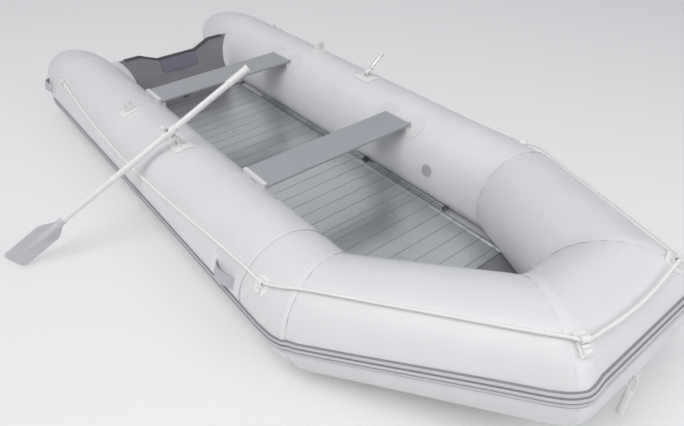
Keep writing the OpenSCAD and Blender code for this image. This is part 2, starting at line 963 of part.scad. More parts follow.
module bow_handle() {
    drop = loop_r - 2 * ring_wire - fit;
    top = ring_at.z - drop;
    color("white") translate([ring_at.x, 0, 0]) {
        translate([0, 0, top]) rotate([90, 0, 0])
            rotate_extrude(angle = 180) translate([loop_r, 0]) circle(ring_wire);
        for (e = [-1, 1]) translate([e * loop_r, 0, grip_top - 9])
            cylinder(r = ring_wire, h = top - grip_top + 9);
        translate([0, 0, grip_low]) rotate_extrude()
            polygon([[0, 0], [9, 0], [13, 5], [13, grip_top - grip_low - 5], [11, grip_top - grip_low],
                [0, grip_top - grip_low]]);
    }
}

module valve_body(v) {
    translate(v[0]) rotate(aim(v[1])) difference() {
        union() {
            translate([0, 0, tube_r - 30]) cylinder(r = valve_hole_r - 0.2, h = 32);
            translate([0, 0, tube_r + 1.6]) cylinder(r = 28, h = 4);
        }
        translate([0, 0, tube_r - 60]) cylinder(r = 10, h = 100);
        translate([0, 0, tube_r + 3.5]) cylinder(r = 20, h = 10);
    }
}

module valve_bodies() {
    color("gray") for (v = [valve_port, valve_stbd, valve_bow]) valve_body(v);
}

module valve_cap(v) {
    color("dimgray") translate(v[0]) rotate(aim(v[1])) {
        translate([0, 0, tube_r + 3.6]) cylinder(r = 19.8, h = 3);
        translate([0, 0, tube_r - 6]) cylinder(r = 9.95, h = 10);
        translate([-13, -2.5, tube_r + 6]) cube([26, 5, 5]);
    }
}

// ---------- nodes ----------

side_tube(false, valve_stbd);  // tube_stbd
side_tube(true, valve_port);  // tube_port
shoulder(false);  // shoulder_stbd
shoulder(true);  // shoulder_port
fore_tube(false);  // fore_tube_stbd
fore_tube(true);  // fore_tube_port
bow_tube();
stern_cone(false);  // stern_cone_stbd
stern_cone(true);  // stern_cone_port
chamber_baffles();
bottom_skin();
keel_tube();
keel_guard();
strake_side(false);  // strake_stbd
strake_side(true);  // strake_port
strake_bow();
transom_board();
transom_trim();
motor_pad_inner();
motor_pad_outer();
transom_bands();
drain_body();
drain_plug();
floor_panel(0);  // floor_panel_1
floor_panel(1);  // floor_panel_2
floor_panel(2);  // floor_panel_3
floor_panel(3);  // floor_panel_4
bow_board();
stringer(false, -872, 127);  // stringer_stbd_aft
stringer(false, 200, 708);  // stringer_stbd_fore
stringer(true, -872, 127);  // stringer_port_aft
stringer(true, 200, 708);  // stringer_port_fore
bench(bench_x[0]);  // bench_aft
bench(bench_x[1]);  // bench_fore
bench_brackets();
rowlock_base(false);  // rowlock_base_stbd
rowlock_base(true);  // rowlock_base_port
rowlock_bolts();
rowlock_stem(false);  // rowlock_stem_stbd
rowlock_stem(true);  // rowlock_stem_port
rowlock_rod(false);  // rowlock_rod_stbd
rowlock_rod(true);  // rowlock_rod_port
rowlock_knob(false);  // rowlock_knob_stbd
rowlock_knob(true);  // rowlock_knob_port
oar_shaft();
oar_blade();
oar_grip();
oar_collar();
stow_lug(false);  // stow_lug_stbd
stow_lug(true);  // stow_lug_port
carry_handles();
handle_pads();
rope_holders();
life_line();
bow_ring_patch();
bow_handle();
valve_bodies();
valve_cap(valve_port);  // valve_cap_port
valve_cap(valve_stbd);  // valve_cap_stbd
valve_cap(valve_bow);  // valve_cap_bow
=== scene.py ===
"""Looks of the inflatable dinghy: camera, light, coated fabric, alloy floor, rope and fittings."""

import json
import math

import bpy
from mathutils import Matrix, Vector, noise


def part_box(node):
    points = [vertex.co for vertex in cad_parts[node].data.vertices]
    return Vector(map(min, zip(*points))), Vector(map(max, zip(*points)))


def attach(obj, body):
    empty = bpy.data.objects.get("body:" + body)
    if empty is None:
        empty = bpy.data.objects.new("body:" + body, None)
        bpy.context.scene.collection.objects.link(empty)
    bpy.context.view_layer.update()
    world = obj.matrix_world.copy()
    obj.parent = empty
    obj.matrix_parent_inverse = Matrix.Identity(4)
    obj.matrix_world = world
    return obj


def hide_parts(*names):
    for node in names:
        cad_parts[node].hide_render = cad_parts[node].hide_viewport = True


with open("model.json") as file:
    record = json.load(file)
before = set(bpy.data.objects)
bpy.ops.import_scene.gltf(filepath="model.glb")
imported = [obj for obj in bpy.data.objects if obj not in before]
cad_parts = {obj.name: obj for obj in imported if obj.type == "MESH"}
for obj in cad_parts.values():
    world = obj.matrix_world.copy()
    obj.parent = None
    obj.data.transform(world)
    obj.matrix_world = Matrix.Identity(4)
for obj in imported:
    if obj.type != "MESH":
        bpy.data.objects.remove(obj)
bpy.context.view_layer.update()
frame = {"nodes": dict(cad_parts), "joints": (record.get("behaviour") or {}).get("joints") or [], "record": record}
nodes = frame["nodes"]

UP = Vector((0, 0, 1))
AHEAD = Vector((1, 0, 0))
PORT = Vector((0, 1, 0))


# ---------------------------------------------------------------- driving sizes, from the frame

tube_lo, tube_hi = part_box("tube_port")
bow_lo, bow_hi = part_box("bow_tube")
cone_lo, cone_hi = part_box("stern_cone_port")
TUBE_R = (tube_hi.z - tube_lo.z) / 2
TUBE_Y = (tube_hi.y + tube_lo.y) / 2
TUBE_Z = (tube_hi.z + tube_lo.z) / 2
CONE_X = tube_lo.x
SEAM_X = tube_hi.x
CONE_LEN = cone_hi.x - cone_lo.x
KINK_X = 0.970
CORNER_Y = 0.184
KINK = Vector((KINK_X, TUBE_Y, TUBE_Z))
CORNER = Vector(((bow_lo.x + bow_hi.x) / 2, CORNER_Y, (bow_lo.z + bow_hi.z) / 2))
FORE = (CORNER - KINK).normalized()
KINK_NORMAL = (AHEAD + FORE).normalized()
CORNER_NORMAL = (FORE - PORT).normalized()


def flipped(p):
    """A port point's mirror image on the starboard side."""
    return Vector((p.x, -p.y, p.z))


# ---------------------------------------------------------------- camera

CAMERA_PLACE = Vector((2.0964, -1.3254, 1.6917))
CAMERA_LOOK = Vector((-0.625, 0.488, -0.609))
CAMERA_RIGHT = Vector((0.625, 0.780, -0.017))
LENS_MM = 29.67
SENSOR_MM = 36


def place_camera():
    data = bpy.data.cameras.new("camera")
    data.sensor_width = SENSOR_MM
    data.lens = LENS_MM
    camera = bpy.data.objects.new("camera", data)
    bpy.context.scene.collection.objects.link(camera)
    look = CAMERA_LOOK.normalized()
    right = CAMERA_RIGHT.normalized()
    up = right.cross(look).normalized()
    turn = Matrix((right, up, -look)).transposed().to_4x4()
    camera.matrix_world = Matrix.Translation(CAMERA_PLACE) @ turn
    bpy.context.scene.camera = camera


place_camera()


# ---------------------------------------------------------------- materials

def new_material(name, color, rough, metal=0.0):
    mat = bpy.data.materials.new(name)
    mat.use_nodes = True
    shader = mat.node_tree.nodes["Principled BSDF"]
    shader.inputs["Base Color"].default_value = (*color, 1)
    shader.inputs["Roughness"].default_value = rough
    shader.inputs["Metallic"].default_value = metal
    return mat, shader


class Nodes:
    """Short names for building a material's node tree. Lengths are in metres."""

    def __init__(self, mat):
        self.tree = mat.node_tree
        self.coord = self.tree.nodes.new("ShaderNodeTexCoord").outputs["Object"]

    def link(self, output, target):
        self.tree.links.new(output, target)

    def feed(self, value, socket):
        """Give a socket another node's output or a plain value."""
        if isinstance(value, bpy.types.NodeSocket):
            self.link(value, socket)
        else:
            socket.default_value = value

    def add(self, kind, **inputs):
        node = self.tree.nodes.new(kind)
        for key, value in inputs.items():
            self.feed(value, node.inputs[key.replace("_", " ")])
        return node

    def math(self, operation, a, b=0.0):
        node = self.tree.nodes.new("ShaderNodeMath")
        node.operation = operation
        for socket, value in zip(node.inputs, (a, b)):
            self.feed(value, socket)
        return node.outputs[0]

    def noise(self, scale, detail, stretch=None):
        vector = self.coord
        if stretch:
            vector = self.add("ShaderNodeMapping", Vector=self.coord, Scale=stretch).outputs[0]
        return self.add("ShaderNodeTexNoise", Vector=vector, Scale=scale, Detail=detail).outputs["Fac"]

    def spread(self, value, low, high):
        """Stretch a noise's middle range to run from low to high."""
        return self.add("ShaderNodeMapRange", Value=value, From_Min=0.3, From_Max=0.7,
                        To_Min=low, To_Max=high).outputs[0]

    def blend(self, fac, a, b):
        """Mix two colours, each a triple or an earlier result, by a value."""
        node = self.tree.nodes.new("ShaderNodeMix")
        node.data_type = "RGBA"
        color_sockets = [socket for socket in node.inputs if socket.type == "RGBA"]
        for socket, value in zip(color_sockets, (a, b)):
            self.feed((*value, 1) if isinstance(value, tuple) else value, socket)
        self.link(fac, node.inputs["Factor"])
        return next(socket for socket in node.outputs if socket.type == "RGBA")

    def bump(self, height, distance, strength, below=None):
        node = self.add("ShaderNodeBump", Height=height, Strength=strength, Distance=distance)
        if below:
            self.link(below, node.inputs["Normal"])
        return node.outputs["Normal"]


def scaled(color, amount):
    return tuple(min(1, c * amount) for c in color)


def coated_fabric(name, color, rough=0.42):
    """Satin PVC-coated cloth: a fine grain, faint scuffs and slow changes of shade."""
    mat, shader = new_material(name, color, rough)
    n = Nodes(mat)
    pale = scaled(color, 1.05)
    dull = scaled(color, 0.95)
    n.link(n.blend(n.noise(5, 3), dull, pale), shader.inputs["Base Color"])
    n.link(n.spread(n.noise(14, 4), rough - 0.07, rough + 0.08), shader.inputs["Roughness"])
    broad = n.bump(n.noise(7, 1), 0.004, 0.35)
    grain = n.bump(n.noise(900, 2), 0.0003, 0.35, broad)
    n.link(grain, shader.inputs["Normal"])
    shader.inputs["Coat Weight"].default_value = 0.12
    shader.inputs["Coat Roughness"].default_value = 0.3
    return mat


def moulded(name, color, rough=0.4, grain=600, depth=0.0002):
    """Plastic, rubber or lacquer with a moulded grain and slightly uneven gloss."""
    mat, shader = new_material(name, color, rough)
    n = Nodes(mat)
    n.link(n.spread(n.noise(60, 3), rough - 0.06, rough + 0.08), shader.inputs["Roughness"])
    n.link(n.bump(n.noise(grain, 3), depth, 0.5), shader.inputs["Normal"])
    n.link(n.blend(n.noise(20, 3), scaled(color, 0.93), color), shader.inputs["Base Color"])
    return mat


SLAT_PITCH = 0.080
END_BAR = 0.0375
PANEL_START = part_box("floor_panel_1")[0].x
PANEL_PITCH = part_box("floor_panel_2")[0].x - PANEL_START


def slat_marks(n):
    """Painted shade in the groove at every slat's edge, and a tone that differs from slat to slat."""
    x = n.add("ShaderNodeSeparateXYZ", Vector=n.coord).outputs["X"]
    along = n.math("SUBTRACT", x, PANEL_START)
    in_panel = n.math("ADD", n.math("MODULO", along, PANEL_PITCH), SLAT_PITCH - END_BAR)
    in_slat = n.math("MODULO", in_panel, SLAT_PITCH)
    gap = n.math("MINIMUM", in_slat, n.math("SUBTRACT", SLAT_PITCH, in_slat))
    groove_shade = n.add("ShaderNodeMapRange", Value=gap, From_Min=0.0010, From_Max=0.0035,
                   To_Min=1.0, To_Max=0.0).outputs[0]
    slat_number = n.math("FLOOR", n.math("DIVIDE", in_panel, SLAT_PITCH))
    panel_number = n.math("FLOOR", n.math("DIVIDE", along, PANEL_PITCH))
    shade = n.tree.nodes.new("ShaderNodeTexWhiteNoise")
    shade.noise_dimensions = "1D"
    n.link(n.math("ADD", slat_number, n.math("MULTIPLY", panel_number, 10)), shade.inputs["W"])
    return groove_shade, shade.outputs["Value"]


def extruded_alloy(name, color, rough=0.32):
    """Mill-finish aluminium slats: drawing lines athwart the boat and a little handling wear."""
    mat, shader = new_material(name, color, rough, 1.0)
    n = Nodes(mat)
    lines = n.noise(900, 2, (1.0, 0.004, 1.0))
    smears = n.noise(9, 3)
    groove_shade, shade = slat_marks(n)
    n.link(n.spread(lines, rough - 0.06, rough + 0.08), shader.inputs["Roughness"])
    worn = n.blend(smears, scaled(color, 0.86), color)
    slats = n.blend(n.math("MULTIPLY", shade, 0.35), worn, scaled(color, 0.72))
    # painted shade: each slat groove darkened toward a third of the alloy's colour
    marked = n.blend(n.math("MULTIPLY", groove_shade, 0.5), slats, scaled(color, 0.3))
    n.link(marked, shader.inputs["Base Color"])
    n.link(n.bump(lines, 0.0002, 0.25), shader.inputs["Normal"])
    shader.inputs["Anisotropic"].default_value = 0.4
    return mat


def painted_board(name, color, rough=0.45):
    """Painted plywood: a faint grain fore and aft under the paint."""
    mat, shader = new_material(name, color, rough)
    n = Nodes(mat)
    n.link(n.blend(n.noise(6, 4), scaled(color, 0.92), color), shader.inputs["Base Color"])
    n.link(n.bump(n.noise(220, 4, (0.25, 1.0, 1.0)), 0.0004, 0.3), shader.inputs["Normal"])
    n.link(n.spread(n.noise(30, 3), rough - 0.05, rough + 0.07), shader.inputs["Roughness"])
    return mat


def metal(name, color, rough):
    """Bright metal with an uneven polish."""
    mat, shader = new_material(name, color, rough, 1.0)
    n = Nodes(mat)
    n.link(n.spread(n.noise(300, 3), rough - 0.05, rough + 0.1), shader.inputs["Roughness"])
    return mat


MATERIALS = {
    "tube_fabric": coated_fabric("tube_fabric", (0.73, 0.735, 0.745)),
    "band_fabric": coated_fabric("band_fabric", (0.76, 0.765, 0.775), 0.38),
    "guard_rubber": moulded("guard_rubber", (0.12, 0.12, 0.13), 0.55),
    "strake_rubber": moulded("strake_rubber", (0.58, 0.585, 0.60), 0.35),
    # darker rubber for the strake's grooves: partly its own tone, partly painted shade
    "strake_groove": moulded("strake_groove", (0.26, 0.26, 0.29), 0.5),
    "transom_ply": painted_board("transom_ply", (0.25, 0.245, 0.27)),
    "trim_plastic": moulded("trim_plastic", (0.085, 0.075, 0.078), 0.4),
    "pad_plastic": moulded("pad_plastic", (0.20, 0.19, 0.25), 0.5, 250, 0.0006),
    "floor_alloy": extruded_alloy("floor_alloy", (0.80, 0.82, 0.84)),
    "bow_ply": painted_board("bow_ply", (0.22, 0.225, 0.235)),
    "bench_ply": painted_board("bench_ply", (0.375, 0.385, 0.415)),
    "bracket_pvc": coated_fabric("bracket_pvc", (0.70, 0.70, 0.71), 0.4),
    "white_plastic": moulded("white_plastic", (0.84, 0.84, 0.83), 0.35),
    "steel": metal("steel", (0.66, 0.66, 0.67), 0.25),
    "oar_alloy": moulded("oar_alloy", (0.84, 0.84, 0.84), 0.25),
    "blade_plastic": moulded("blade_plastic", (0.62, 0.61, 0.65), 0.38),
    "strap_fabric": coated_fabric("strap_fabric", (0.50, 0.485, 0.53), 0.5),
    "rope_fabric": moulded("rope_fabric", (0.86, 0.86, 0.85), 0.6, 1500, 0.0006),
    "valve_plastic": moulded("valve_plastic", (0.46, 0.46, 0.48), 0.4),
}
slot_of = {s["node"]: s["material_slot"] for s in frame["record"]["subparts"]}
for node_name, obj in nodes.items():
    obj.data.materials.clear()
    obj.data.materials.append(MATERIALS[slot_of[node_name]])


# ---------------------------------------------------------------- mesh helpers

def make_object(name, points, faces, slot, body="hull"):
    mesh = bpy.data.meshes.new(name)
    mesh.from_pydata([tuple(p) for p in points], [], faces)
    mesh.update()
    mesh.polygons.foreach_set("use_smooth", [True] * len(mesh.polygons))
    obj = bpy.data.objects.new(name, mesh)
    bpy.context.scene.collection.objects.link(obj)
    mesh.materials.append(MATERIALS[slot])
    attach(obj, body)
    return obj


def grid_faces(rows, columns):
    """Quads over closed rows of equal length."""
    faces = []
    for i in range(rows - 1):
        for k in range(columns):
            j = (k + 1) % columns
            faces.append((i * columns + k, i * columns + j, (i + 1) * columns + j, (i + 1) * columns + k))
    return faces


def grid_object(name, rows, slot, ends=False, body="hull", turn=False):
    """A skin over closed rows of points. Ends caps it, and turn makes its faces look the other way."""
    columns = len(rows[0])
    points = [p for row in rows for p in row]
    faces = grid_faces(len(rows), columns)
    if ends:
        faces.append(tuple(range(columns - 1, -1, -1)))
        faces.append(tuple((len(rows) - 1) * columns + k for k in range(columns)))
    if turn:
        faces = [tuple(reversed(f)) for f in faces]
    return make_object(name, points, faces, slot, body)


def mirrored(rows):
    return [[flipped(p) for p in row] for row in rows]


def both_halves(half):
    """Rows from port over the middle to starboard, given those as far as the middle."""
    return half + mirrored(reversed(half[:-1]))


def circle_angles(count):
    return [2 * math.pi * k / count for k in range(count)]


# ---------------------------------------------------------------- life-line

LINE_HALF = [
    (-1.252, -0.709, 0.365), (-1.190, -0.712, 0.363), (-1.000, -0.723, 0.342),
    (-0.740, -0.734, 0.325), (-0.490, -0.740, 0.314), (-0.260, -0.741, 0.312),
    (-0.020, -0.738, 0.320), (0.220, -0.730, 0.332), (0.430, -0.721, 0.345),
    (0.610, -0.713, 0.355), (0.760, -0.708, 0.361), (0.855, -0.706, 0.366),
    (0.935, -0.682, 0.389), (1.014, -0.640, 0.411), (1.200, -0.541, 0.443),
    (1.400, -0.434, 0.478), (1.600, -0.327, 0.512), (1.690, -0.276, 0.528),
    (1.732, -0.246, 0.530), (1.741, -0.180, 0.524), (1.748, -0.095, 0.519),
]
LINE_ROUTE = LINE_HALF + [(1.751, 0.0, 0.517)] + [(x, -y, z) for x, y, z in reversed(LINE_HALF)]
LINE_D = 0.012
LINE_STEP = 0.0035
STRANDS = 3
LAY_LENGTH = 0.034
LAY_DEPTH = 0.22
LINE_SIDES = 18


def smooth_route(points, step):
    """Even points along a curve through the given ones."""
    pts = [Vector(p) for p in points]
    fine = []
    for i in range(len(pts) - 1):
        a, b, c, d = (pts[max(0, min(len(pts) - 1, i + k))] for k in (-1, 0, 1, 2))
        for m in range(12):
            t = m / 12
            fine.append(0.5 * (2 * b + t * (c - a) + t * t * (2 * a - 5 * b + 4 * c - d)
                               + t ** 3 * (3 * b - a - 3 * c + d)))
    fine.append(pts[-1])
    total = sum((q - p).length for p, q in zip(fine, fine[1:]))
    count = max(2, round(total / step))
    out, k, walked = [fine[0]], 0, 0.0
    for i in range(1, count):
        want = total * i / count
        while walked + (fine[k + 1] - fine[k]).length < want:
            walked += (fine[k + 1] - fine[k]).length
            k += 1
        out.append(fine[k].lerp(fine[k + 1], (want - walked) / (fine[k + 1] - fine[k]).length))
    out.append(fine[-1])
    return out, total


def strand_rows(path, radius):
    """Rings of a laid rope: a section lobed by its strands, which turns along its length."""
    rows = []
    for i, p in enumerate(path):
        along = (path[min(i + 1, len(path) - 1)] - path[max(i - 1, 0)]).normalized()
        u = along.cross(UP).normalized()
        v = u.cross(along)
        turn = 2 * math.pi * i * LINE_STEP / LAY_LENGTH
        row = []
        for a in circle_angles(LINE_SIDES):
            r = radius * (1 - LAY_DEPTH * (0.5 - 0.5 * math.cos(STRANDS * (a - turn))))
            row.append(p + u * (r * math.cos(a)) + v * (r * math.sin(a)))
        rows.append(row)
    return rows


def add_life_line():
    path, total = smooth_route(LINE_ROUTE, LINE_STEP)
    rows = strand_rows(path, LINE_D / 2 + 0.0003)
    line = grid_object("life_line_rope", rows, "rope_fabric", ends=True)
    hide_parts("life_line")


add_life_line()


# ---------------------------------------------------------------- buoyancy tubes

AROUND = circle_angles(128)
JUST_SHORT = 0.99999
LUMP_SIZE = 0.22
LUMP_HEIGHT = 0.0012


def side_direction(theta):
    """Outward from the port side tube, at an angle from its top toward outboard."""
    return math.cos(theta) * UP + math.sin(theta) * PORT


def rail(theta):
    """A line along the port tube's skin at one angle: its corners, from stern to bow."""
    start = Vector((CONE_X, TUBE_Y, TUBE_Z)) + TUBE_R * side_direction(theta)
    at_kink = start + AHEAD * ((KINK - start).dot(KINK_NORMAL) / AHEAD.dot(KINK_NORMAL))
    at_corner = at_kink + FORE * ((CORNER - at_kink).dot(CORNER_NORMAL) / FORE.dot(CORNER_NORMAL))
    middle = Vector((at_corner.x, 0, at_corner.z))
    return start, at_kink, at_corner, middle


def rounding(theta, sharp, soft):
    """Half length of the bend at a mitre: short in the inner crease, longer outside."""
    outside = 0.5 + 0.5 * math.sin(theta)
    return sharp + (soft - sharp) * outside


def bend_point(before, point, after, reach, u):
    """A smooth turn over a mitre; u runs from -1 to 1 through the seam at 0."""
    a = point + (before - point).normalized() * reach
    b = point + (after - point).normalized() * reach
    t = 0.5 + u / 2
    return a * (1 - t) ** 2 + point * (2 * t * (1 - t)) + b * t ** 2


def surface(theta, station):
    """A point of the port tube's surface. Stations: 0 cone seam, 1 kink, 2 bow corner, 3 middle."""
    start, at_kink, at_corner, middle = rail(theta)
    legs = [(start, at_kink), (at_kink, at_corner), (at_corner, middle)]
    reach_kink = rounding(theta, 0.030, 0.075)
    reach_corner = rounding(theta, 0.035, 0.060)
    leg = min(2, int(station))
    t = station - leg
    a, b = legs[leg]
    p = a.lerp(b, t)
    length = (b - a).length
    if leg == 0 and (1 - t) * length < reach_kink:
        return bend_point(start, at_kink, at_corner, reach_kink, -(1 - t) * length / reach_kink)
    if leg == 1 and t * length < reach_kink:
        return bend_point(start, at_kink, at_corner, reach_kink, t * length / reach_kink)
    if leg == 1 and (1 - t) * length < reach_corner:
        return bend_point(at_kink, at_corner, middle, reach_corner, -(1 - t) * length / reach_corner)
    if leg == 2 and t * length < reach_corner:
        return bend_point(at_kink, at_corner, middle, reach_corner, t * length / reach_corner)
    return p


def skin_point(theta, station):
    """A surface point and its outward direction, away from the tube's centre line."""
    p = surface(theta, station)
    if station < 1:
        foot = Vector((p.x, KINK.y, KINK.z))
    elif station < 2:
        foot = KINK + FORE * (p - KINK).dot(FORE)
    else:
        foot = Vector((CORNER.x, p.y, CORNER.z))
    return p, (p - foot).normalized()


def ease(t):
    """A smooth step from 0 to 1."""
    return t * t * (3 - 2 * t)


def lumps(p):
    """The slow unevenness of inflated cloth."""
    return LUMP_HEIGHT * noise.noise(p / LUMP_SIZE)


def puckers(theta, gap, reach, amount):
    """Small radial gathers that fade away from a seam."""
    fade = math.exp(-gap / reach)
    return amount * fade * noise.noise(Vector((theta * 9, gap * 18, 1.7)))


def groove(gap, depth, width):
    """The line pressed in at a seam, this far away from it."""
    return -depth * math.exp(-(gap / width) ** 2)


def mitre_lift(theta, gap):
    """How a mitred seam draws the cloth in and gathers it."""
    return groove(gap, 0.0022, 0.012) + puckers(theta, gap, 0.05, 0.0030)


def square_lift(theta, gap):
    """The same for a seam square to the tube, which gathers less."""
    return groove(gap, 0.0016, 0.010) + puckers(theta, gap, 0.03, 0.0012)


def eased_steps(count):
    """From 0 to 1, closer together near both ends."""
    return [0.5 - 0.5 * math.cos(math.pi * i / count) for i in range(count + 1)]


def tube_rows(from_station, to_station, count, seams):
    """Rings of a mitred length of tube, between two stations."""
    rows = []
    for u in eased_steps(count):
        station = from_station + (to_station - from_station) * u
        row = []
        for theta in AROUND:
            p, out = skin_point(theta, station)
            lift = lumps(p)
            for seam in seams:
                lift += mitre_lift(theta, (p - surface(theta, seam)).length)
            row.append(p + out * lift)
        rows.append(row)
    return rows


def tube_skin(name, side, rows):
    """Show port rows as a length of tube on either side, in place of its CAD node."""
    port = side == "port"
    shown = rows if port else mirrored(rows)
    node = f"{name}_{side}"
    piece = grid_object(f"{node}_skin", shown, slot_of[node], turn=port)
    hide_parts(node)


def seam_station(theta):
    """The straight seam ahead of the fore thwart, at one x all round."""
    start, at_kink, _, _ = rail(theta)
    return (SEAM_X - start.x) / (at_kink.x - start.x)


def straight_rows(x0, x1, count, seams_x):
    """Rings of the long straight side tube."""
    rows = []
    for u in eased_steps(count):
        x = x0 + (x1 - x0) * u
        row = []
        for theta in AROUND:
            out = side_direction(theta)
            p = Vector((x, TUBE_Y, TUBE_Z)) + out * TUBE_R
            lift = lumps(p)
            for seam in seams_x:
                lift += square_lift(theta, abs(x - seam))
            row.append(p + out * lift)
        rows.append(row)
    return rows


def shoulder_rows(count, seam_depth):
    """Rings from the straight seam to the mitre at the kink."""
    rows = []
    for i in range(count + 1):
        row = []
        for theta in AROUND:
            first = seam_station(theta)
            p, out = skin_point(theta, first + (1 - first) * (i / count) * JUST_SHORT)
            lift = lumps(p) + groove(p.x - SEAM_X, seam_depth, 0.010)
            lift += mitre_lift(theta, (p - surface(theta, JUST_SHORT)).length)
            row.append(p + out * lift)
        rows.append(row)
    return rows


def cone_rows(count):
    """Rings of the rounded stern cone, from its tip to its seam."""
    rows = []
    for i in range(count, -1, -1):
        a = math.pi / 2 * i / count
        along = CONE_LEN * math.sin(a)
        radius = max(0.0005, TUBE_R * math.cos(a))
        row = []
        for theta in AROUND:
            out = side_direction(theta)
            p = Vector((CONE_X - along, TUBE_Y, TUBE_Z)) + out * radius
            row.append(p + out * (lumps(p) * math.cos(a) + groove(along, 0.0016, 0.010)))
        rows.append(row)
    return rows


def add_tubes():
    # the seam ahead of the fore thwart shows on the starboard side only
    tube_skin("tube", "port", straight_rows(CONE_X, SEAM_X, 90, (CONE_X,)))
    tube_skin("tube", "stbd", straight_rows(CONE_X, SEAM_X, 90, (CONE_X, SEAM_X)))
    tube_skin("shoulder", "port", shoulder_rows(26, 0.0))
    tube_skin("shoulder", "stbd", shoulder_rows(26, 0.0016))
    fore = tube_rows(1, 1 + JUST_SHORT, 56, (1, 1 + JUST_SHORT))
    cone = cone_rows(48)
    for side in ("port", "stbd"):
        tube_skin("fore_tube", side, fore)
        tube_skin("stern_cone", side, cone)
    half = tube_rows(2, 3, 26, (2,))
    piece = grid_object("bow_tube_skin", both_halves(half), slot_of["bow_tube"], turn=True)
    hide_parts("bow_tube")


add_tubes()


# ---------------------------------------------------------------- rubbing strakes

STRAKE_W = 0.054
STRAKE_T = 0.010
STRAKE_START = -1.44
STRAKE_JOINT = 1.93
# the strake's upper half, from its edge: place in widths, height in thicknesses, and whether a rib
STRAKE_HALF = [
    (-0.50, 0.00, False), (-0.50, 0.16, False), (-0.43, 0.18, False), (-0.40, 0.55, True),
    (-0.35, 0.68, True), (-0.24, 0.70, True), (-0.19, 0.55, True), (-0.17, 0.28, False),
    (-0.12, 0.28, False), (-0.10, 0.80, True), (-0.06, 1.00, True),
]
STRAKE_SHAPE = STRAKE_HALF + [(-w, h, rib) for w, h, rib in reversed(STRAKE_HALF)]


def strake_angle(station):
    """How far round from the tube's top the strake's middle runs."""
    marks = [(-1, 93), (0.93, 93), (1.04, 85), (1.88, 82), (2.0, 80), (2.25, 75), (3.0, 75)]
    for (s0, a0), (s1, a1) in zip(marks, marks[1:]):
        if station <= s1:
            return math.radians(a0 + (a1 - a0) * ease((station - s0) / (s1 - s0)))
    return math.radians(marks[-1][1])


def strake_point(theta, station):
    """The same, with stations below 0 on the stern cone."""
    if station >= 0:
        return skin_point(theta, min(station, 3.0))
    along = -station * (KINK.x - CONE_X)
    radius = TUBE_R * math.sqrt(max(0.0, 1 - (along / CONE_LEN) ** 2))
    out = side_direction(theta)
    return Vector((CONE_X - along, TUBE_Y, TUBE_Z)) + out * radius, out


def strake_stations(first, last, step=0.012):
    """Stations along the strake, closer together near both mitres."""
    stations = []
    station = first
    while station < last - 1e-6:
        stations.append(station)
        near = min(abs(station - 1), abs(station - 2))
        station += step * (0.35 if near < 0.12 else 1.0)
    return stations + [last]


def strake_rows(stations, taper_in=False):
    """Sections of a strake laid on the tube. Taper_in starts it thin."""
    rows = []
    for i, station in enumerate(stations):
        theta = strake_angle(station)
        thin = min(1.0, 0.25 + i / 4) if taper_in else 1.0
        row = []
        for w, h, _ in STRAKE_SHAPE:
            p, out = strake_point(theta + w * STRAKE_W * thin / TUBE_R, station)
            row.append(p + out * (h * STRAKE_T * thin + 0.0002))
        rows.append(row)
    return rows


def paint_ribs(obj):
    """The grooves and flap edges between the ribs get the darker rubber: partly the strake's own two tones, partly
    painted shade in the recesses.
    """
    obj.data.materials.append(MATERIALS["strake_groove"])
    columns = len(STRAKE_SHAPE)
    for face in obj.data.polygons:
        marks = [STRAKE_SHAPE[v % columns][2] for v in face.vertices]
        if not all(marks):
            face.material_index = 1


def add_strakes():
    first = (STRAKE_START - CONE_X) / (KINK.x - CONE_X)
    side = strake_rows(strake_stations(first, STRAKE_JOINT), taper_in=True)
    for name, rows, turn in (("port", side, True), ("stbd", mirrored(side), False)):
        piece = grid_object(f"strake_{name}_rubber", rows, "strake_rubber", ends=True, turn=turn)
        paint_ribs(piece)
        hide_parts(f"strake_{name}")
    half = strake_rows(strake_stations(STRAKE_JOINT, 3))
    piece = grid_object("strake_bow_rubber", both_halves(half), "strake_rubber", ends=True, turn=True)
    paint_ribs(piece)
    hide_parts("strake_bow")


add_strakes()


# ---------------------------------------------------------------- seam tapes

TAPE_T = 0.0007


def tape_lifts(rows_across):
    """Each row's place across a tape, from -0.5 to 0.5, and its height off the tube."""
    out = []
    for i in range(rows_across):
        across = i / (rows_across - 1)
        edge = 1 - abs(2 * across - 1)
        out.append((across - 0.5, TAPE_T * min(1.0, edge * 6) + 0.0001))
    return out


def tape_rows(station, width):
    """A band of fabric bonded over a mitred seam, following the tube."""
    rows = []
    for across, lift in tape_lifts(9):
        d = width * across
        row = []
        for theta in AROUND:
            before, point, after = rail(theta)[station - 1:station + 2]
            leg = (point - before).length if d < 0 else (after - point).length
            p, out = skin_point(theta, station + d / leg - (1e-6 if d == 0 else 0))
            row.append(p + out * lift)
        rows.append(row)
    return rows


def ring_rows(x, width):
    """A band square to the side tube at one x."""
    rows = []
    for across, lift in tape_lifts(7):
        middle = Vector((x + width * across, TUBE_Y, TUBE_Z))
        rows.append([middle + side_direction(theta) * (TUBE_R + lift) for theta in AROUND])
    return rows


def add_tapes():
    bands = [
        ("kink_tape", tape_rows(1, 0.024)),
        ("corner_tape", tape_rows(2, 0.038)),
        ("cone_tape", ring_rows(CONE_X + 0.010, 0.022)),
    ]
    for name, rows in bands:
        grid_object(f"{name}_port", rows, "band_fabric", turn=True)
        grid_object(f"{name}_stbd", mirrored(rows), "band_fabric")
    grid_object("seam_tape_stbd", mirrored(ring_rows(SEAM_X - 0.008, 0.014)), "band_fabric")


add_tapes()


# ---------------------------------------------------------------- oar blade

joints = {j["name"]: j for j in frame["joints"]}
OAR_SWEEP = math.radians(12)
PIN_PLAY = math.radians(4)
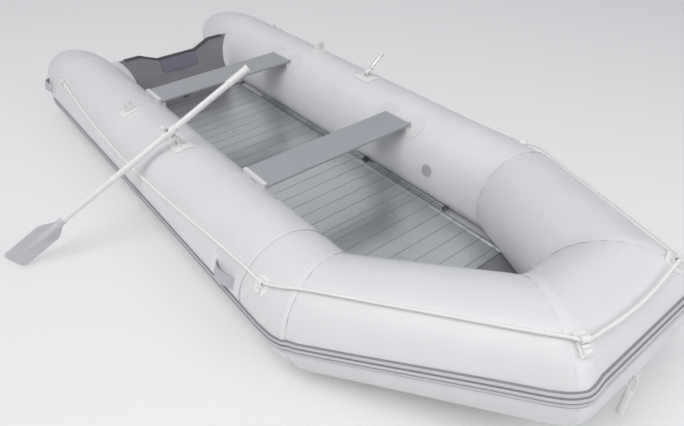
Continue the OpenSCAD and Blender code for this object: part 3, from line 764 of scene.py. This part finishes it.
# places along the blade, from its tip
NECK_AT = 0.286
SHOULDER_AT = 0.191
RIDGE_ROOT = 0.168
RIDGE_TIP = 0.030
TIP_ROUND = 0.026
BLADE_HALF = 0.058
NECK_HALF = 0.0155
RIDGE_R = 0.0165
BLADE_T = 0.0022
RIM = 0.004
# from the pin to the blade's tip
TIP_REACH = 0.887


def oar_frame():
    """Origin on the pin, Y inboard along the shaft, X square to the blade."""
    pin = joints["oar_sweep"]
    lean = math.acos(pin["axis"][2])
    turn = Matrix.Rotation(lean, 4, "X") @ Matrix.Rotation(-OAR_SWEEP, 4, "Z")
    return Matrix.Translation(pin["pos_m"]) @ turn @ Matrix.Rotation(-PIN_PLAY, 4, "X")


def blade_half_width(s):
    """Round at the tip, then straight, then drawn in to the neck."""
    if s < TIP_ROUND:
        u = 1 - s / TIP_ROUND
        return BLADE_HALF - TIP_ROUND * (1 - math.sqrt(max(0.0, 1 - u * u)))
    if s < SHOULDER_AT:
        return BLADE_HALF
    t = min(1.0, (s - SHOULDER_AT) / (NECK_AT - SHOULDER_AT))
    return BLADE_HALF + (NECK_HALF - BLADE_HALF) * ease(min(1.0, t * 1.02))


def ridge_radius(s):
    """The rib down the blade's middle, which fades toward the tip."""
    if s <= RIDGE_TIP:
        return 0.0
    if s >= RIDGE_ROOT:
        return RIDGE_R
    return RIDGE_R * (s - RIDGE_TIP) / (RIDGE_ROOT - RIDGE_TIP)


def blade_stations():
    """Places along the blade, closer together round its tip."""
    stations = []
    s = 0.0
    while s < NECK_AT:
        stations.append(s)
        s += 0.0015 if s < TIP_ROUND else 0.004
    return stations + [NECK_AT]


def add_blade():
    place = oar_frame()
    columns = 28
    rows = []
    for s in blade_stations():
        half = max(blade_half_width(s), 0.0005)
        ridge = ridge_radius(s)
        front, back = [], []
        for k in range(columns + 1):
            w = half * math.sin(math.pi * (k / columns - 0.5))
            rim = min(1.0, (half - abs(w)) / RIM)
            height = BLADE_T * math.sqrt(max(0.0, rim * (2 - rim)))
            if abs(w) < ridge:
                height = max(height, math.sqrt(ridge * ridge - w * w))
            front.append(place @ Vector((height, s - TIP_REACH, w)))
            back.append(place @ Vector((-height, s - TIP_REACH, w)))
        rows.append(front + back[::-1][1:-1])
    blade = grid_object("oar_blade_moulding", rows, "blade_plastic", ends=True, body="oar")
    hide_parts("oar_blade")


add_blade()


# ---------------------------------------------------------------- stage and light

FLOOR_HALF = 40


def add_stage():
    mesh = bpy.data.meshes.new("floor")
    corners = [(x * FLOOR_HALF, y * FLOOR_HALF, 0) for x, y in ((-1, -1), (1, -1), (1, 1), (-1, 1))]
    mesh.from_pydata(corners, [], [(0, 1, 2, 3)])
    floor = bpy.data.objects.new("floor", mesh)
    bpy.context.scene.collection.objects.link(floor)
    mat, _ = new_material("floor", (0.86, 0.86, 0.86), 0.9)
    mesh.materials.append(mat)


def area_light(name, place, aim, size, power, color=(1, 1, 1)):
    data = bpy.data.lights.new(name, "AREA")
    data.shape = "SQUARE"
    data.size = size
    data.energy = power
    data.color = color
    light = bpy.data.objects.new(name, data)
    light.location = place
    light.rotation_euler = (Vector(aim) - Vector(place)).to_track_quat("-Z", "Y").to_euler()
    bpy.context.scene.collection.objects.link(light)


def add_light():
    """A pale sky that darkens toward the ground, and three soft lamps."""
    bpy.context.scene.view_settings.view_transform = "Standard"
    world = bpy.data.worlds.new("world")
    bpy.context.scene.world = world
    world.use_nodes = True
    sky = world.node_tree
    sky.nodes["Background"].inputs[0].default_value = (0.94, 0.955, 1.0, 1)
    coord = sky.nodes.new("ShaderNodeTexCoord")
    split = sky.nodes.new("ShaderNodeSeparateXYZ")
    height = sky.nodes.new("ShaderNodeMapRange")
    height.inputs["To Min"].default_value = 0.24
    height.inputs["To Max"].default_value = 0.66
    sky.links.new(coord.outputs["Generated"], split.inputs[0])
    sky.links.new(split.outputs["Z"], height.inputs["Value"])
    sky.links.new(height.outputs[0], sky.nodes["Background"].inputs[1])
    area_light("key", (1.6, -4.8, 8.0), (0.6, 0, 0.2), 6.8, 425, (1.0, 0.99, 0.97))
    area_light("stern", (-4.5, 2.0, 3.2), (-0.5, 0, 0.2), 2.5, 2)
    area_light("front", (4.4, 0.5, 2.6), (1.5, 0, 0.3), 2.0, 30)


add_stage()
add_light()
